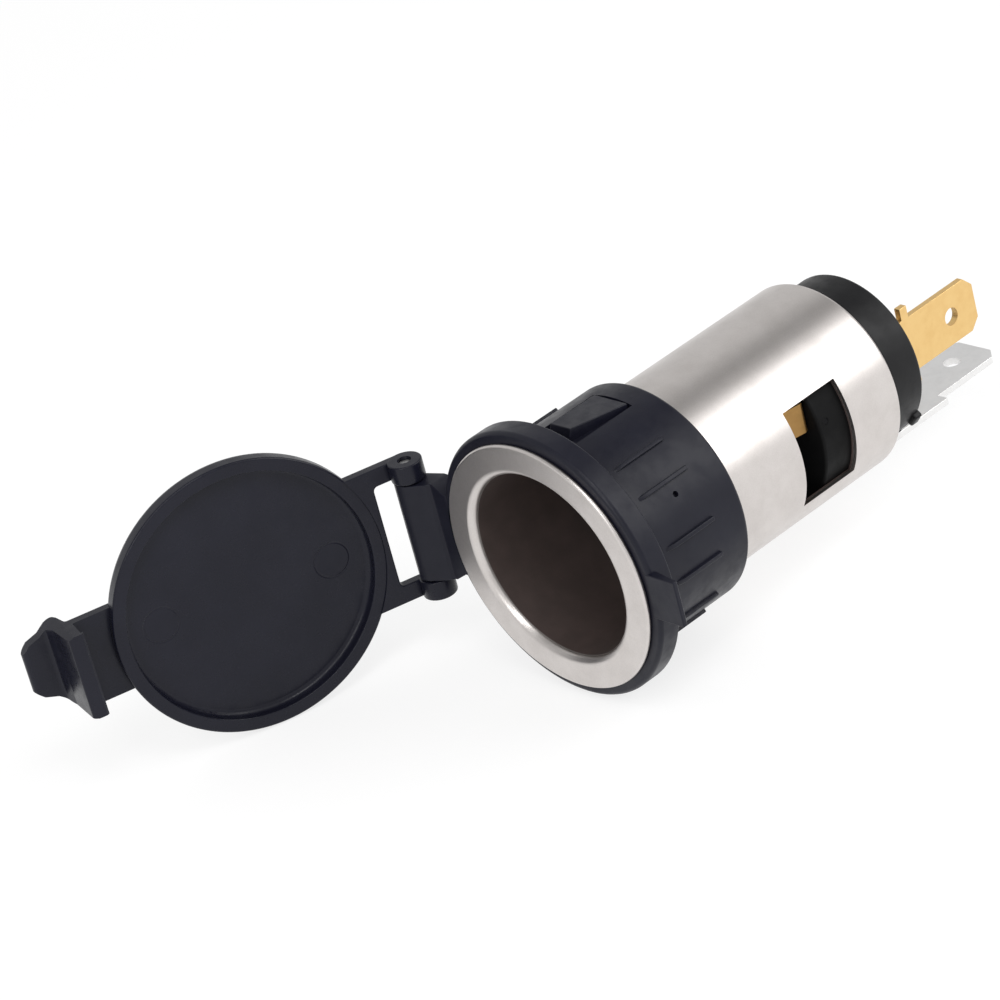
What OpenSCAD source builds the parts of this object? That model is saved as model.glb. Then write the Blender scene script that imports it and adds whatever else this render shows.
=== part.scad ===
// Twelve-volt socket for a vehicle dash or panel, with a hinged protective lid.
// The barrel lies along Y with its mouth towards -Y, the hinge pin stands along Z,
// and the origin is the centre of the bezel flange's rear face, which seats on the panel.

/* [Socket shell] */
// Inside diameter of the plug bore
bore_d = 21; // [19:0.1:23]
// Thickness of the drawn shell wall
shell_wall = 0.5; // [0.4:0.05:0.8]
// Depth of the clear plug bore behind the ring face
bore_depth = 25.6; // [23:0.1:25.8]
// How much smaller in radius the shell is where it grips the insulator
seat_step = 0.2; // [0.2:0.05:0.4]
// Diameter of the out-turned ring at the mouth
ring_d = 28; // [26:0.1:29]
// Thickness of the ring with its hemmed edge
ring_t = 0.6; // [0.5:0.05:1]
// Radius of the rolled lip between the bore and the ring
lip_r = 0.9; // [0.6:0.05:1.1]
// Length of the shell from the ring face to its rear edge
shell_len = 42; // [40:0.1:50]
// Radius of the hole in the shell's rear wall
shell_rear_hole_r = 8.6; // [8:0.1:9]
// Distance from the ring face to the front edge of the side window
window_start = 27; // [26:0.1:28]
// Length of the side window along the barrel
window_len = 7.8; // [5:0.1:9]
// Width of the side window across the barrel
window_w = 11; // [8:0.1:13]

/* [Bezel] */
// Diameter of the bezel flange
flange_d = 30.4; // [29.5:0.1:33]
// Thickness of the bezel flange
flange_t = 2.7; // [2:0.1:4]
// Radius of the flange's front edge
flange_edge_r = 0.5; // [0.2:0.1:0.8]
// Diameter of the bezel barrel that passes through the panel
barrel_d = 25.2; // [24:0.1:27]
// Length of the bezel barrel behind the flange
barrel_len = 13.3; // [12:0.1:18]
// Slip clearance between the shell and the bezel
shell_gap = 0.05; // [0.02:0.01:0.1]
// Height of the crush ribs above the barrel
rib_h = 0.35; // [0.2:0.05:0.5]
// Width of a crush rib
rib_w = 0.55; // [0.3:0.05:1]
// Distance from the flange to the front end of the ribs
rib_start = 2.05; // [2.05:0.05:3]
// Length of the crush ribs
rib_len = 7; // [5:0.1:9]
// Width of a snap wedge
wedge_w = 5; // [3:0.1:7]
// Height of a snap wedge above the barrel at its front
wedge_h = 1.2; // [0.8:0.05:1.6]
// Distance from the flange to the front face of a snap wedge
wedge_start = 2.05; // [2.05:0.05:3]
// Length of a snap wedge
wedge_len = 8.3; // [6:0.1:10]
// Width of the catch tab that the lid snaps over
catch_w = 5.2; // [4:0.1:7]
// How far the catch tab reaches beyond the flange's edge
catch_out = 3.2; // [2.4:0.1:4]
// Thickness of the catch tab at its end
catch_t = 0.55; // [0.4:0.05:0.8]

/* [Hinge] */
// How far the hinge pin lies outside the flange's edge
hinge_out = 4.2; // [3.8:0.1:6]
// How far the hinge pin lies in front of the panel seat
hinge_y = 2.75; // [2.4:0.05:3.2]
// Radius of the bezel's central knuckle
knuckle_r = 1.7; // [1.5:0.05:2]
// Radius of the two lid knuckles
lid_knuckle_r = 1.85; // [1.6:0.05:2.2]
// Length of the central knuckle
knuckle_len = 11.5; // [9:0.1:13]
// Length of each lid knuckle
lid_knuckle_len = 2.15; // [1.6:0.05:3]
// Gap between neighbouring knuckles
knuckle_gap = 0.15; // [0.1:0.01:0.25]
// Diameter of the hinge pin
pin_d = 1.5; // [1.2:0.05:1.8]
// Radial clearance of the pin in the central knuckle
pin_clear = 0.05; // [0.02:0.01:0.1]
// Angle of the lid from closed
lid_open = 109; // [0:1:169]

/* [Lid] */
// How far the lid disc's edge stands out beyond the flange's edge
lid_overhang = 0; // [0:0.1:0.5]
// Gap between the closed lid's rim and the ring
lid_gap = 0.25; // [0.1:0.05:0.4]
// Thickness of the lid disc
lid_t = 2.4; // [2:0.1:3.2]
// Width of the flat rim round the recess
rim_w = 1.5; // [1:0.1:2]
// Depth of the round recess in the lid
recess_depth = 1.3; // [0.8:0.1:1.8]
// Radius between the recess wall and its floor
recess_r = 1.1; // [0.5:0.1:1.2]
// Radius of the lid's outer edge
lid_edge_r = 1.8; // [1:0.1:2]
// Thickness of the two hinge arms
arm_t = 1.2; // [1:0.1:1.8]
// Length of the gap between the disc and the central knuckle
arm_gap = 2.1; // [1.6:0.1:3]
// Width of the latch arm and its hook wall
latch_w = 9.8; // [8:0.1:12]
// Thickness of the latch arm
latch_t = 1; // [0.8:0.1:1.4]
// How far the latch arm lies in front of the lid's rim
latch_drop = 1.05; // [0.8:0.05:1.3]
// Thickness of the hook wall
hook_t = 1.9; // [1.4:0.1:2.2]
// How far the nib reaches behind the catch tab
nib = 0.25; // [0.15:0.05:0.4]
// Clearance between the hook and the catch tab
hook_clear = 0.12; // [0.08:0.02:0.2]
// How far the finger tab lies in front of the lid's rim
finger_rise = 4.8; // [3.5:0.1:6]
// Length of the finger tab beyond the hook wall
finger_len = 3.5; // [2.5:0.1:6]
// Width of the finger tab at its end
finger_w = 6.2; // [4:0.1:8]
// Thickness of the finger tab
finger_t = 1.2; // [0.8:0.1:1.6]

/* [Contacts and insulators] */
// Distance from the ring face to the front face of the inner insulator
insulator_front = 30.3; // [29:0.1:32]
// Diameter of the rear insulating cap
cap_d = 18.9; // [18:0.1:20]
// How far the rear cap stands out of the shell
cap_len = 5.25; // [4:0.1:9]
// Thickness of the brass and steel contact strip
strip_t = 0.8; // [0.6:0.05:1]
// Width of the power blade
power_blade_w = 6.3; // [4.8:0.1:6.5]
// Distance of the power blade from the barrel axis
power_blade_x = 4; // [3.9:0.1:5]
// Distance from the rear cap to the power blade's shoulders
power_shoulder = 4.1; // [3:0.1:8]
// Width of the power blade across its shoulders
power_shoulder_w = 9.1; // [7:0.1:10]
// Length of the power blade beyond its shoulders
power_blade_len = 10; // [8:0.1:14]
// Width of the ground blade
ground_blade_w = 7; // [6.3:0.1:7.5]
// Width of the ground strip beside the rear cap
ground_strip_w = 9.8; // [8:0.1:9.9]
// Distance from the barrel axis to the inner face of the ground strip
ground_strip_z = 8.3; // [8.1:0.05:8.4]
// Distance from the rear cap to the ground blade's shoulders
ground_shoulder = 7.1; // [5:0.1:12]
// Length of the ground blade beyond its shoulders
ground_blade_len = 10.2; // [8:0.1:14]
// Diameter of the locking hole in each blade
blade_hole_d = 2; // [1.5:0.1:2.6]
// Radius of the centre rivet's shank
rivet_r = 1.6; // [1.2:0.1:1.8]
// Width of each contact finger
clip_w = 5.4; // [4:0.1:6]
// Length of the contact fingers
clip_len = 4.3; // [3:0.1:4.6]
// Thickness of the contact clip
clip_t = 0.5; // [0.3:0.05:0.6]

/* [Hidden] */
$fn = 96;
tiny = 0.01;
bore_r = bore_d / 2;
shell_r = bore_r + shell_wall;
seat_r = bore_r - seat_step;
ring_r = ring_d / 2;
ring_front = -flange_t - ring_t;
shell_rear = ring_front + shell_len;
shell_wall_rear = shell_rear - shell_wall;
bore_end = ring_front + bore_depth;
window_y = ring_front + window_start;
flange_r = flange_d / 2;
barrel_r = barrel_d / 2;
bezel_bore_r = shell_r + shell_gap;
lip_back_r = max(lip_r - ring_t, 0.05);
lip_relief = max(lip_r - shell_wall - shell_gap, 0.05) + 0.02;
RIB_ANGLES = [9.3, 35.8, 53];
hinge_x = flange_r + hinge_out;
hinge_pos = [-hinge_x, -hinge_y, 0];
knuckle_half = knuckle_len / 2;
lid_knuckle_start = knuckle_half + knuckle_gap;
lid_knuckle_end = lid_knuckle_start + lid_knuckle_len;
pin_r = pin_d / 2;
pin_end_gap = 0.1;
lid_r = flange_r + lid_overhang;
arm_root = lid_r - 3.04;
rim_y = ring_front - lid_gap;
lid_front = rim_y - lid_t;
recess_radius = lid_r - rim_w;
arm_front = -hinge_y - lid_knuckle_r;
web_x = -hinge_x + knuckle_r + arm_gap;
latch_rear = rim_y - latch_drop;
latch_front = latch_rear - latch_t;
catch_reach = flange_r + catch_out;
catch_front = -flange_t - 0.05;
catch_rear = catch_front + catch_t;
hook_x = catch_reach + hook_clear;
hook_outer = hook_x + hook_t;
nib_front = catch_rear + hook_clear;
nib_t = 0.35;
hook_rear = nib_front + nib_t;
finger_front = rim_y - finger_rise;
finger_end = hook_outer + finger_len;
cap_r = cap_d / 2;
cap_rear = shell_rear + cap_len;
insulator_y = ring_front + insulator_front;
insulator_gap = 0.03;
insulator_r = seat_r - insulator_gap;
ground_y = shell_wall_rear - strip_t;
ground_ring_r = 6;
boss_r = ground_ring_r - 0.15;
notch_gap = 0.1;
rivet_gap = 0.05;
power_foot_r = power_blade_x - 0.2;
washer_r = 3.4;
washer_t = 0.5;
clip_x = 8.1;
clip_lean = 12;

// Place a shape that was drawn round Z onto the barrel axis
module on_barrel() {
  rotate([-90, 0, 0]) children();
}

// A round solid on the barrel axis, from one station to another
module disc(r, y0, y1) {
  translate([0, y0, 0]) on_barrel() cylinder(r = r, h = y1 - y0);
}

// Turn the lid and what moves with it about the hinge pin
module swing() {
  translate(hinge_pos) rotate([0, 0, -lid_open]) translate(-hinge_pos) children();
}

// Half section of the drawn shell: radius across, distance along the barrel up
module shell_section() {
  hem = ring_t / 2;
  difference() {
    union() {
      translate([bore_r, ring_front + lip_r]) square([shell_wall, shell_len - lip_r]);
      translate([bore_r + lip_r, ring_front]) square([ring_r - hem - bore_r - lip_r, ring_t]);
      translate([bore_r, ring_front]) square([lip_r, lip_r]);
      translate([ring_r - hem, ring_front + hem]) circle(r = hem, $fn = 32);
      translate([seat_r, bore_end]) square([seat_step + shell_wall, shell_rear - bore_end]);
      translate([shell_rear_hole_r, shell_wall_rear]) square([shell_r - shell_rear_hole_r, shell_wall]);
    }
    difference() {
      translate([bore_r - tiny, ring_front - tiny]) square([lip_r + tiny, lip_r + tiny]);
      translate([bore_r + lip_r, ring_front + lip_r]) circle(r = lip_r);
    }
    translate([bore_r + lip_r, ring_front + lip_r]) circle(r = lip_back_r, $fn = 32);
    difference() {
      translate([shell_r - shell_wall, shell_rear - shell_wall]) square(shell_wall + tiny);
      translate([shell_r - shell_wall, shell_rear - shell_wall]) circle(r = shell_wall);
    }
  }
}

module shell() {
  notch_w = ground_strip_w + 2 * notch_gap;
  notch_z = ground_strip_z - notch_gap;
  color("gainsboro") difference() {
    on_barrel() rotate_extrude() shell_section();
    translate([0, window_y, -window_w / 2]) cube([shell_r + 1, window_len, window_w]);
    translate([-notch_w / 2, shell_wall_rear - tiny, -notch_z - strip_t - 2 * notch_gap])
      cube([notch_w, shell_wall + 2 * tiny, strip_t + 2 * notch_gap]);
  }
}

// One rib with a rounded crest and a sloped front, at an angle round the barrel
module rib(angle) {
  rotate([0, -angle, 0]) translate([0, rib_start, 0]) difference() {
    union() {
      translate([barrel_r - rib_h, 0, -rib_w / 2]) cube([2 * rib_h - rib_w / 4, rib_len, rib_w]);
      translate([barrel_r + rib_h - rib_w / 2, rib_len, 0]) rotate([90, 0, 0])
        cylinder(r = rib_w / 2, h = rib_len, $fn = 24);
    }
    translate([barrel_r, rib_len, -rib_w]) rotate([0, 0, 45]) cube([rib_w * 2, rib_w * 2, rib_w * 2]);
  }
}

// Snap wedge, high at the front and flush with the barrel at the rear
module snap_wedge() {
  rotate([0, 90, 0]) translate([0, 0, -wedge_w / 2]) linear_extrude(wedge_w) polygon([
    [-barrel_r + 1, wedge_start],
    [-barrel_r - wedge_h + 0.15, wedge_start],
    [-barrel_r - wedge_h, wedge_start + 0.3],
    [-barrel_r - wedge_h, wedge_start + 0.9],
    [-barrel_r + 0.2, wedge_start + wedge_len],
    [-barrel_r + 1, wedge_start + wedge_len]
  ]);
}

// Hinge block of the bezel, in plan, with the central knuckle
module hinge_block() {
  block_x = -flange_r + 1;
  step_x = -hinge_x + 2.8;
  difference() {
    translate([0, 0, -knuckle_half]) linear_extrude(knuckle_len) union() {
      translate([-hinge_x, -hinge_y]) circle(r = knuckle_r);
      polygon([
        [-hinge_x, -hinge_y - knuckle_r],
        [-hinge_x + 1.1, -hinge_y - knuckle_r + 0.4],
        [step_x, -flange_t - 0.35],
        [step_x + 0.3, -flange_t],
        [block_x, -flange_t],
        [block_x, -0.3],
        [step_x, -0.3],
        [-hinge_x + 0.6, -hinge_y + knuckle_r - 0.1],
        [-hinge_x, -hinge_y + knuckle_r]
      ]);
    }
    translate([-hinge_x, -hinge_y, -knuckle_half - 1]) cylinder(r = pin_r + pin_clear, h = knuckle_len + 2);
  }
}

// Tab on the flange, thick at its root, that the lid's hook snaps behind
module catch_tab() {
  root_x = flange_r - 1;
  translate([0, 0, -catch_w / 2]) linear_extrude(catch_w) polygon([
    [root_x, catch_front],
    [catch_reach, catch_front],
    [catch_reach, catch_rear],
    [flange_r, catch_rear + 0.45],
    [root_x, catch_rear + 0.45]
  ]);
}

module bezel() {
  color([0.13, 0.14, 0.18]) difference() {
    union() {
      on_barrel() rotate_extrude() difference() {
        union() {
          translate([bezel_bore_r, -flange_t]) square([flange_r - bezel_bore_r, flange_t]);
          translate([bezel_bore_r, -tiny]) square([barrel_r - bezel_bore_r, barrel_len + tiny]);
        }
        difference() {
          translate([flange_r - flange_edge_r, -flange_t - tiny]) square(flange_edge_r + tiny);
          translate([flange_r - flange_edge_r, -flange_t + flange_edge_r]) circle(r = flange_edge_r);
        }
        translate([barrel_r, barrel_len]) rotate(45) square(0.7, center = true);
      }
      for (side = [1, -1], angle = RIB_ANGLES) {
        rib(side * angle);
        rib(180 - side * angle);
      }
      snap_wedge();
      mirror([0, 0, 1]) snap_wedge();
      hinge_block();
      catch_tab();
    }
    disc(bezel_bore_r, -flange_t - 1, barrel_len + 1);
    translate([0, -flange_t - tiny, 0]) on_barrel()
      cylinder(r1 = bezel_bore_r + lip_relief, r2 = bezel_bore_r, h = lip_relief);
  }
}

// Half section of the lid disc: the recess is open towards the ring
module lid_section() {
  floor_y = rim_y - recess_depth;
  difference() {
    union() {
      translate([0, lid_front]) square([lid_r - lid_edge_r, lid_t]);
      translate([0, lid_front + lid_edge_r]) square([lid_r, lid_t - lid_edge_r]);
      intersection() {
        translate([lid_r - lid_edge_r, lid_front + lid_edge_r]) circle(r = lid_edge_r);
        translate([0, lid_front]) square([lid_r, lid_t]);
      }
    }
    translate([0, floor_y]) square([recess_radius - recess_r, recess_depth + 1]);
    translate([0, floor_y + recess_r]) square([recess_radius, recess_depth + 1]);
    translate([recess_radius - recess_r, floor_y + recess_r]) circle(r = recess_r);
  }
}

// Hinge arms, the straight web that joins them to the disc, and the lid knuckles
module lid_arms() {
  arm_w = lid_knuckle_end - lid_knuckle_start - knuckle_gap;
  difference() {
    union() {
      for (side = [1, -1]) {
        z0 = side > 0 ? lid_knuckle_start : -lid_knuckle_end;
        arm_z = side > 0 ? lid_knuckle_end - arm_w : -lid_knuckle_end;
        translate([-hinge_x, arm_front, arm_z]) cube([hinge_x - arm_root, arm_t, arm_w]);
        translate([-hinge_x, -hinge_y, z0]) cylinder(r = lid_knuckle_r, h = lid_knuckle_len);
      }
      translate([web_x, arm_front, -lid_knuckle_end])
        cube([-arm_root - web_x, arm_t, 2 * lid_knuckle_end]);
    }
    disc(recess_radius, rim_y - recess_depth, 0);
    translate([-hinge_x, -hinge_y, -lid_knuckle_end - 1]) cylinder(r = pin_r, h = 2 * lid_knuckle_end + 2);
  }
}

// Side section of the latch: arm, hook wall with its nib, and raised finger tab
module latch_section() {
  root_x = lid_r - 1;
  union() {
    translate([root_x, latch_front]) square([hook_outer - root_x - 0.6, latch_t]);
    translate([hook_x, latch_front]) square([hook_t - 0.4, hook_rear - latch_front]);
    polygon([
      [hook_x, hook_rear - nib_t],
      [hook_x - nib, hook_rear - nib_t],
      [hook_x - nib, hook_rear - nib_t + 0.12],
      [hook_x, hook_rear]
    ]);
    polygon([
      [hook_outer - finger_t, finger_front + finger_t],
      [hook_outer - finger_t - 0.3, latch_rear],
      [hook_outer - 0.4, hook_rear],
      [hook_outer, latch_front],
      [hook_outer + 0.3, finger_front + finger_t]
    ]);
    translate([hook_outer, finger_front + finger_t]) circle(r = finger_t, $fn = 32);
    translate([hook_outer, finger_front]) square([finger_len - finger_t / 2, finger_t]);
    translate([finger_end - finger_t / 2, finger_front + finger_t / 2]) circle(r = finger_t / 2, $fn = 24);
  }
}

module latch() {
  half = latch_w / 2;
  tip = finger_w / 2;
  corner = 0.9;
  intersection() {
    translate([0, 0, -half]) linear_extrude(latch_w) latch_section();
    translate([0, hook_rear + 1, 0]) rotate([90, 0, 0]) linear_extrude(hook_rear + 2 - finger_front) polygon([
      [0, -half], [hook_outer - 1, -half], [hook_outer, -half + 0.5], [finger_end - corner, -tip],
      [finger_end, -tip + corner], [finger_end, tip - corner], [finger_end - corner, tip],
      [hook_outer, half - 0.5], [hook_outer - 1, half], [0, half]
    ]);
  }
}

module lid() {
  color([0.13, 0.14, 0.18]) swing() union() {
    on_barrel() rotate_extrude() lid_section();
    lid_arms();
    latch();
  }
}

module hinge_pin() {
  length = 2 * (lid_knuckle_end - pin_end_gap);
  color("silver") translate([-hinge_x, -hinge_y, -length / 2]) cylinder(r = pin_r, h = length);
}

// Front insulator with a rear boss that centres the ground terminal
module inner_insulator() {
  color([0.08, 0.08, 0.09]) difference() {
    union() {
      disc(insulator_r, insulator_y, ground_y);
      disc(boss_r, ground_y - tiny, shell_wall_rear);
    }
    disc(rivet_r + rivet_gap, insulator_y - 1, shell_wall_rear + 1);
  }
}

// Brass clip: a riveted base strip with two sprung fingers that lean inwards
module contact_clip() {
  low = 0.8;
  base_y = insulator_y - clip_t;
  color("goldenrod") difference() {
    union() {
      disc(boss_r - 0.6, base_y, insulator_y);
      for (turn = [0, 180]) rotate([0, turn, 0]) {
        translate([0, base_y, low]) cube([clip_x, clip_t, clip_w]);
        translate([clip_x - clip_t, insulator_y - clip_t, low]) rotate([0, 0, -clip_lean])
          translate([0, -clip_len, 0]) cube([clip_t, clip_len + clip_t / 2, clip_w]);
      }
    }
    disc(rivet_r + rivet_gap, base_y - 1, insulator_y + 1);
  }
}

// Dished contact button under the rivet head
module centre_contact() {
  base_y = insulator_y - clip_t;
  button_r = 3.6;
  button_t = 0.8;
  color("gold") difference() {
    union() {
      disc(button_r, base_y - button_t / 2, base_y);
      translate([0, base_y - button_t / 2, 0]) rotate([90, 0, 0]) cylinder(r1 = button_r, r2 = button_r - 0.6, h = button_t / 2);
    }
    disc(rivet_r + rivet_gap, base_y - 2, base_y + 1);
  }
}

module centre_rivet() {
  head_y = insulator_y - clip_t - 0.8;
  tail_y = cap_rear + strip_t + washer_t;
  head_r = rivet_r + 0.9;
  color("gold") union() {
    disc(rivet_r, head_y - 0.5, tail_y + 0.4);
    on_barrel() rotate_extrude() intersection() {
      translate([0, head_y - 0.9]) square([head_r, 0.9]);
      translate([0, head_y + 2.6]) circle(r = 3.5);
    }
    translate([0, tail_y, 0]) on_barrel() cylinder(r1 = head_r, r2 = rivet_r + 0.2, h = 0.7);
  }
}

// Rear insulating cap: a spigot in the shell, a flat for the ground strip and a key
module rear_cap() {
  edge = 0.4;
  flat_z = ground_strip_z - 0.1;
  color([0.08, 0.08, 0.09]) difference() {
    union() {
      disc(shell_rear_hole_r - 0.1, shell_wall_rear, shell_rear + tiny);
      disc(cap_r, shell_rear, cap_rear - edge);
      translate([0, cap_rear - edge, 0]) on_barrel() cylinder(r1 = cap_r, r2 = cap_r - edge, h = edge);
      translate([5.3, cap_rear - 1.6, -ground_strip_z - 0.5]) cube([1.5, 1.9, 2.4]);
    }
    disc(rivet_r + rivet_gap, shell_wall_rear - 1, cap_rear + 1);
    translate([-cap_r, shell_wall_rear - 1, -flat_z - cap_r]) cube([cap_r + 5.2, cap_len + 4, cap_r]);
  }
}

// Outline of a blade terminal with a chamfered tip and a locking hole, along Y
module blade_outline(width, length) {
  cut = 1.2;
  hole_back = 3.9;
  difference() {
    polygon([
      [-width / 2, 0], [width / 2, 0], [width / 2, length - cut], [width / 2 - cut, length],
      [-width / 2 + cut, length], [-width / 2, length - cut]
    ]);
    translate([0, length - hole_back]) circle(d = blade_hole_d, $fn = 48);
  }
}

module power_terminal() {
  shoulder_y = cap_rear + power_shoulder;
  nub = 1.1;
  color("goldenrod") difference() {
    union() {
      disc(power_foot_r, cap_rear, cap_rear + strip_t);
      translate([0, cap_rear, -power_blade_w / 2]) cube([power_blade_x + strip_t, strip_t, power_blade_w]);
      translate([power_blade_x, 0, 0]) rotate([0, 90, 0]) linear_extrude(strip_t) union() {
        translate([-power_blade_w / 2, cap_rear]) square([power_blade_w, power_shoulder]);
        translate([-power_shoulder_w / 2, shoulder_y - nub]) square([power_shoulder_w, nub]);
        translate([0, shoulder_y - tiny]) blade_outline(power_blade_w, power_blade_len);
      }
    }
    disc(rivet_r + rivet_gap, cap_rear - 1, cap_rear + strip_t + 1);
  }
}

module ground_terminal() {
  shoulder_y = cap_rear + ground_shoulder;
  half = ground_strip_w / 2;
  color("lightgray") union() {
    difference() {
      union() {
        disc(ground_strip_z + strip_t, ground_y, ground_y + strip_t);
      }
      disc(ground_ring_r, ground_y - 1, ground_y + strip_t + 1);
    }
    translate([0, 0, -ground_strip_z - strip_t]) linear_extrude(strip_t) union() {
      translate([-half, ground_y]) square([ground_strip_w, shoulder_y - ground_y]);
      translate([0, shoulder_y - tiny]) blade_outline(ground_blade_w, ground_blade_len);
    }
  }
}

module rivet_washer() {
  y0 = cap_rear + strip_t;
  color("silver") difference() {
    disc(washer_r, y0, y0 + washer_t);
    disc(rivet_r + rivet_gap, y0 - 1, y0 + washer_t + 1);
  }
}

bezel();
shell();
lid();
hinge_pin();
inner_insulator();
contact_clip();
centre_contact();
centre_rivet();
rear_cap();
ground_terminal();
power_terminal();
rivet_washer();
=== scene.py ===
"""Dress a panel-mount 12 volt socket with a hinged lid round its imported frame."""

import logging
import math
from collections.abc import Mapping, Sequence
from dataclasses import dataclass
from enum import Enum

import bmesh
import bpy
from mathutils import Matrix, Vector


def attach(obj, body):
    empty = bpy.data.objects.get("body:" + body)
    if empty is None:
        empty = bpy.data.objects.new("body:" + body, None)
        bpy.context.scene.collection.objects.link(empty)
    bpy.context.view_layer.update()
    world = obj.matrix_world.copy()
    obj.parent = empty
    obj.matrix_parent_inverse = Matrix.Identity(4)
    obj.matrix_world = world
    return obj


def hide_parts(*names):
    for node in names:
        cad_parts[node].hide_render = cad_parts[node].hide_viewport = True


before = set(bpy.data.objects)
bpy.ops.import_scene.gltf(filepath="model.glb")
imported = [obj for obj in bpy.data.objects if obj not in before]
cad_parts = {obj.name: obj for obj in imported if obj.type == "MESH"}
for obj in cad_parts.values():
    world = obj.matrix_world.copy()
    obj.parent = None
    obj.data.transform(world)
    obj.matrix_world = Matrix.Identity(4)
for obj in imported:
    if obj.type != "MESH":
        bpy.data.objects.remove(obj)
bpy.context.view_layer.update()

# Metres in a millimetre, and radians in a turn
MM = 0.001
TURN = 2 * math.pi
# Slack, in millimetres, for welding points, for a lathe's axis and for a cut
WELD = 1e-5
ON_AXIS = 1e-6
CUT_SLACK = 1e-4
# The most of a side that one fillet takes up
FILLET_SHARE = 0.49
Socket = bpy.types.NodeSocket
Point = tuple[float, float]
Place = tuple[float, float, float]
Colour = tuple[float, float, float]
# A point of an outline, or one with a fillet radius
Corner = tuple[float, float] | tuple[float, float, float]
log = logging.getLogger("socket")


class Body(Enum):
    """The two moving groups of the frame."""

    SOCKET = "socket"
    LID = "lid"


class Along(Enum):
    """The way an outline is drawn out: its own two axes and the way of its thickness."""

    Z = Matrix.Identity(4)
    X = Matrix(((0, 0, 1), (0, 1, 0), (1, 0, 0))).to_4x4()
    Y = Matrix(((1, 0, 0), (0, 0, 1), (0, 1, 0))).to_4x4()


def rounded(corners: Sequence[Corner], steps: int = 5) -> list[Point]:
    """Turn a closed outline whose corners may carry a radius into plain points.

    Args:
        corners: Points in millimetres, each with an optional fillet radius.
        steps: Facets of each fillet.

    Returns:
        The outline's points, in the same order.
    """
    made: list[Point] = []
    for i, corner in enumerate(corners):
        here = Vector(corner[:2])
        radius = corner[2] if len(corner) > 2 else 0.0
        if radius <= 0:
            made.append((here.x, here.y))
            continue
        back = Vector(corners[i - 1][:2]) - here
        on = Vector(corners[(i + 1) % len(corners)][:2]) - here
        half = back.angle(on) / 2
        reach = min(radius / math.tan(half), FILLET_SHARE * back.length, FILLET_SHARE * on.length)
        radius = reach * math.tan(half)
        inward = (back.normalized() + on.normalized()).normalized()
        centre = here + inward * radius / math.sin(half)
        first = here + back.normalized() * reach - centre
        last = here + on.normalized() * reach - centre
        start = math.atan2(first.y, first.x)
        sweep = (math.atan2(last.y, last.x) - start + math.pi) % TURN - math.pi
        for k in range(steps + 1):
            angle = start + sweep * k / steps
            across, along = radius * math.cos(angle), radius * math.sin(angle)
            made.append((centre.x + across, centre.y + along))
    return made


def arc(centre: Point, radius: float, start: float, stop: float, steps: int = 12) -> list[Point]:
    """Points of an arc.

    Args:
        centre: Its centre, in millimetres.
        radius: Its radius, in millimetres.
        start: First angle, in degrees.
        stop: Last angle, in degrees.
        steps: Facets along it.

    Returns:
        The points from start to stop.
    """
    turns = [math.radians(start + (stop - start) * k / steps) for k in range(steps + 1)]
    return [(centre[0] + radius * math.cos(a), centre[1] + radius * math.sin(a)) for a in turns]


def rectangle(left: float, right: float, low: float, high: float) -> list[Point]:
    """Corners of a rectangle.

    Args:
        left: Its least first coordinate.
        right: Its greatest first coordinate.
        low: Its least second coordinate.
        high: Its greatest second coordinate.

    Returns:
        The four corners in turn.
    """
    return [(left, low), (right, low), (right, high), (left, high)]


def placed(name: str, data: bpy.types.ID) -> bpy.types.Object:
    """Make an object and put it in the scene.

    Args:
        name: Its name.
        data: Its mesh, lamp or camera.

    Returns:
        The object.
    """
    made = bpy.data.objects.new(name, data)
    bpy.context.scene.collection.objects.link(made)
    return made


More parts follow.
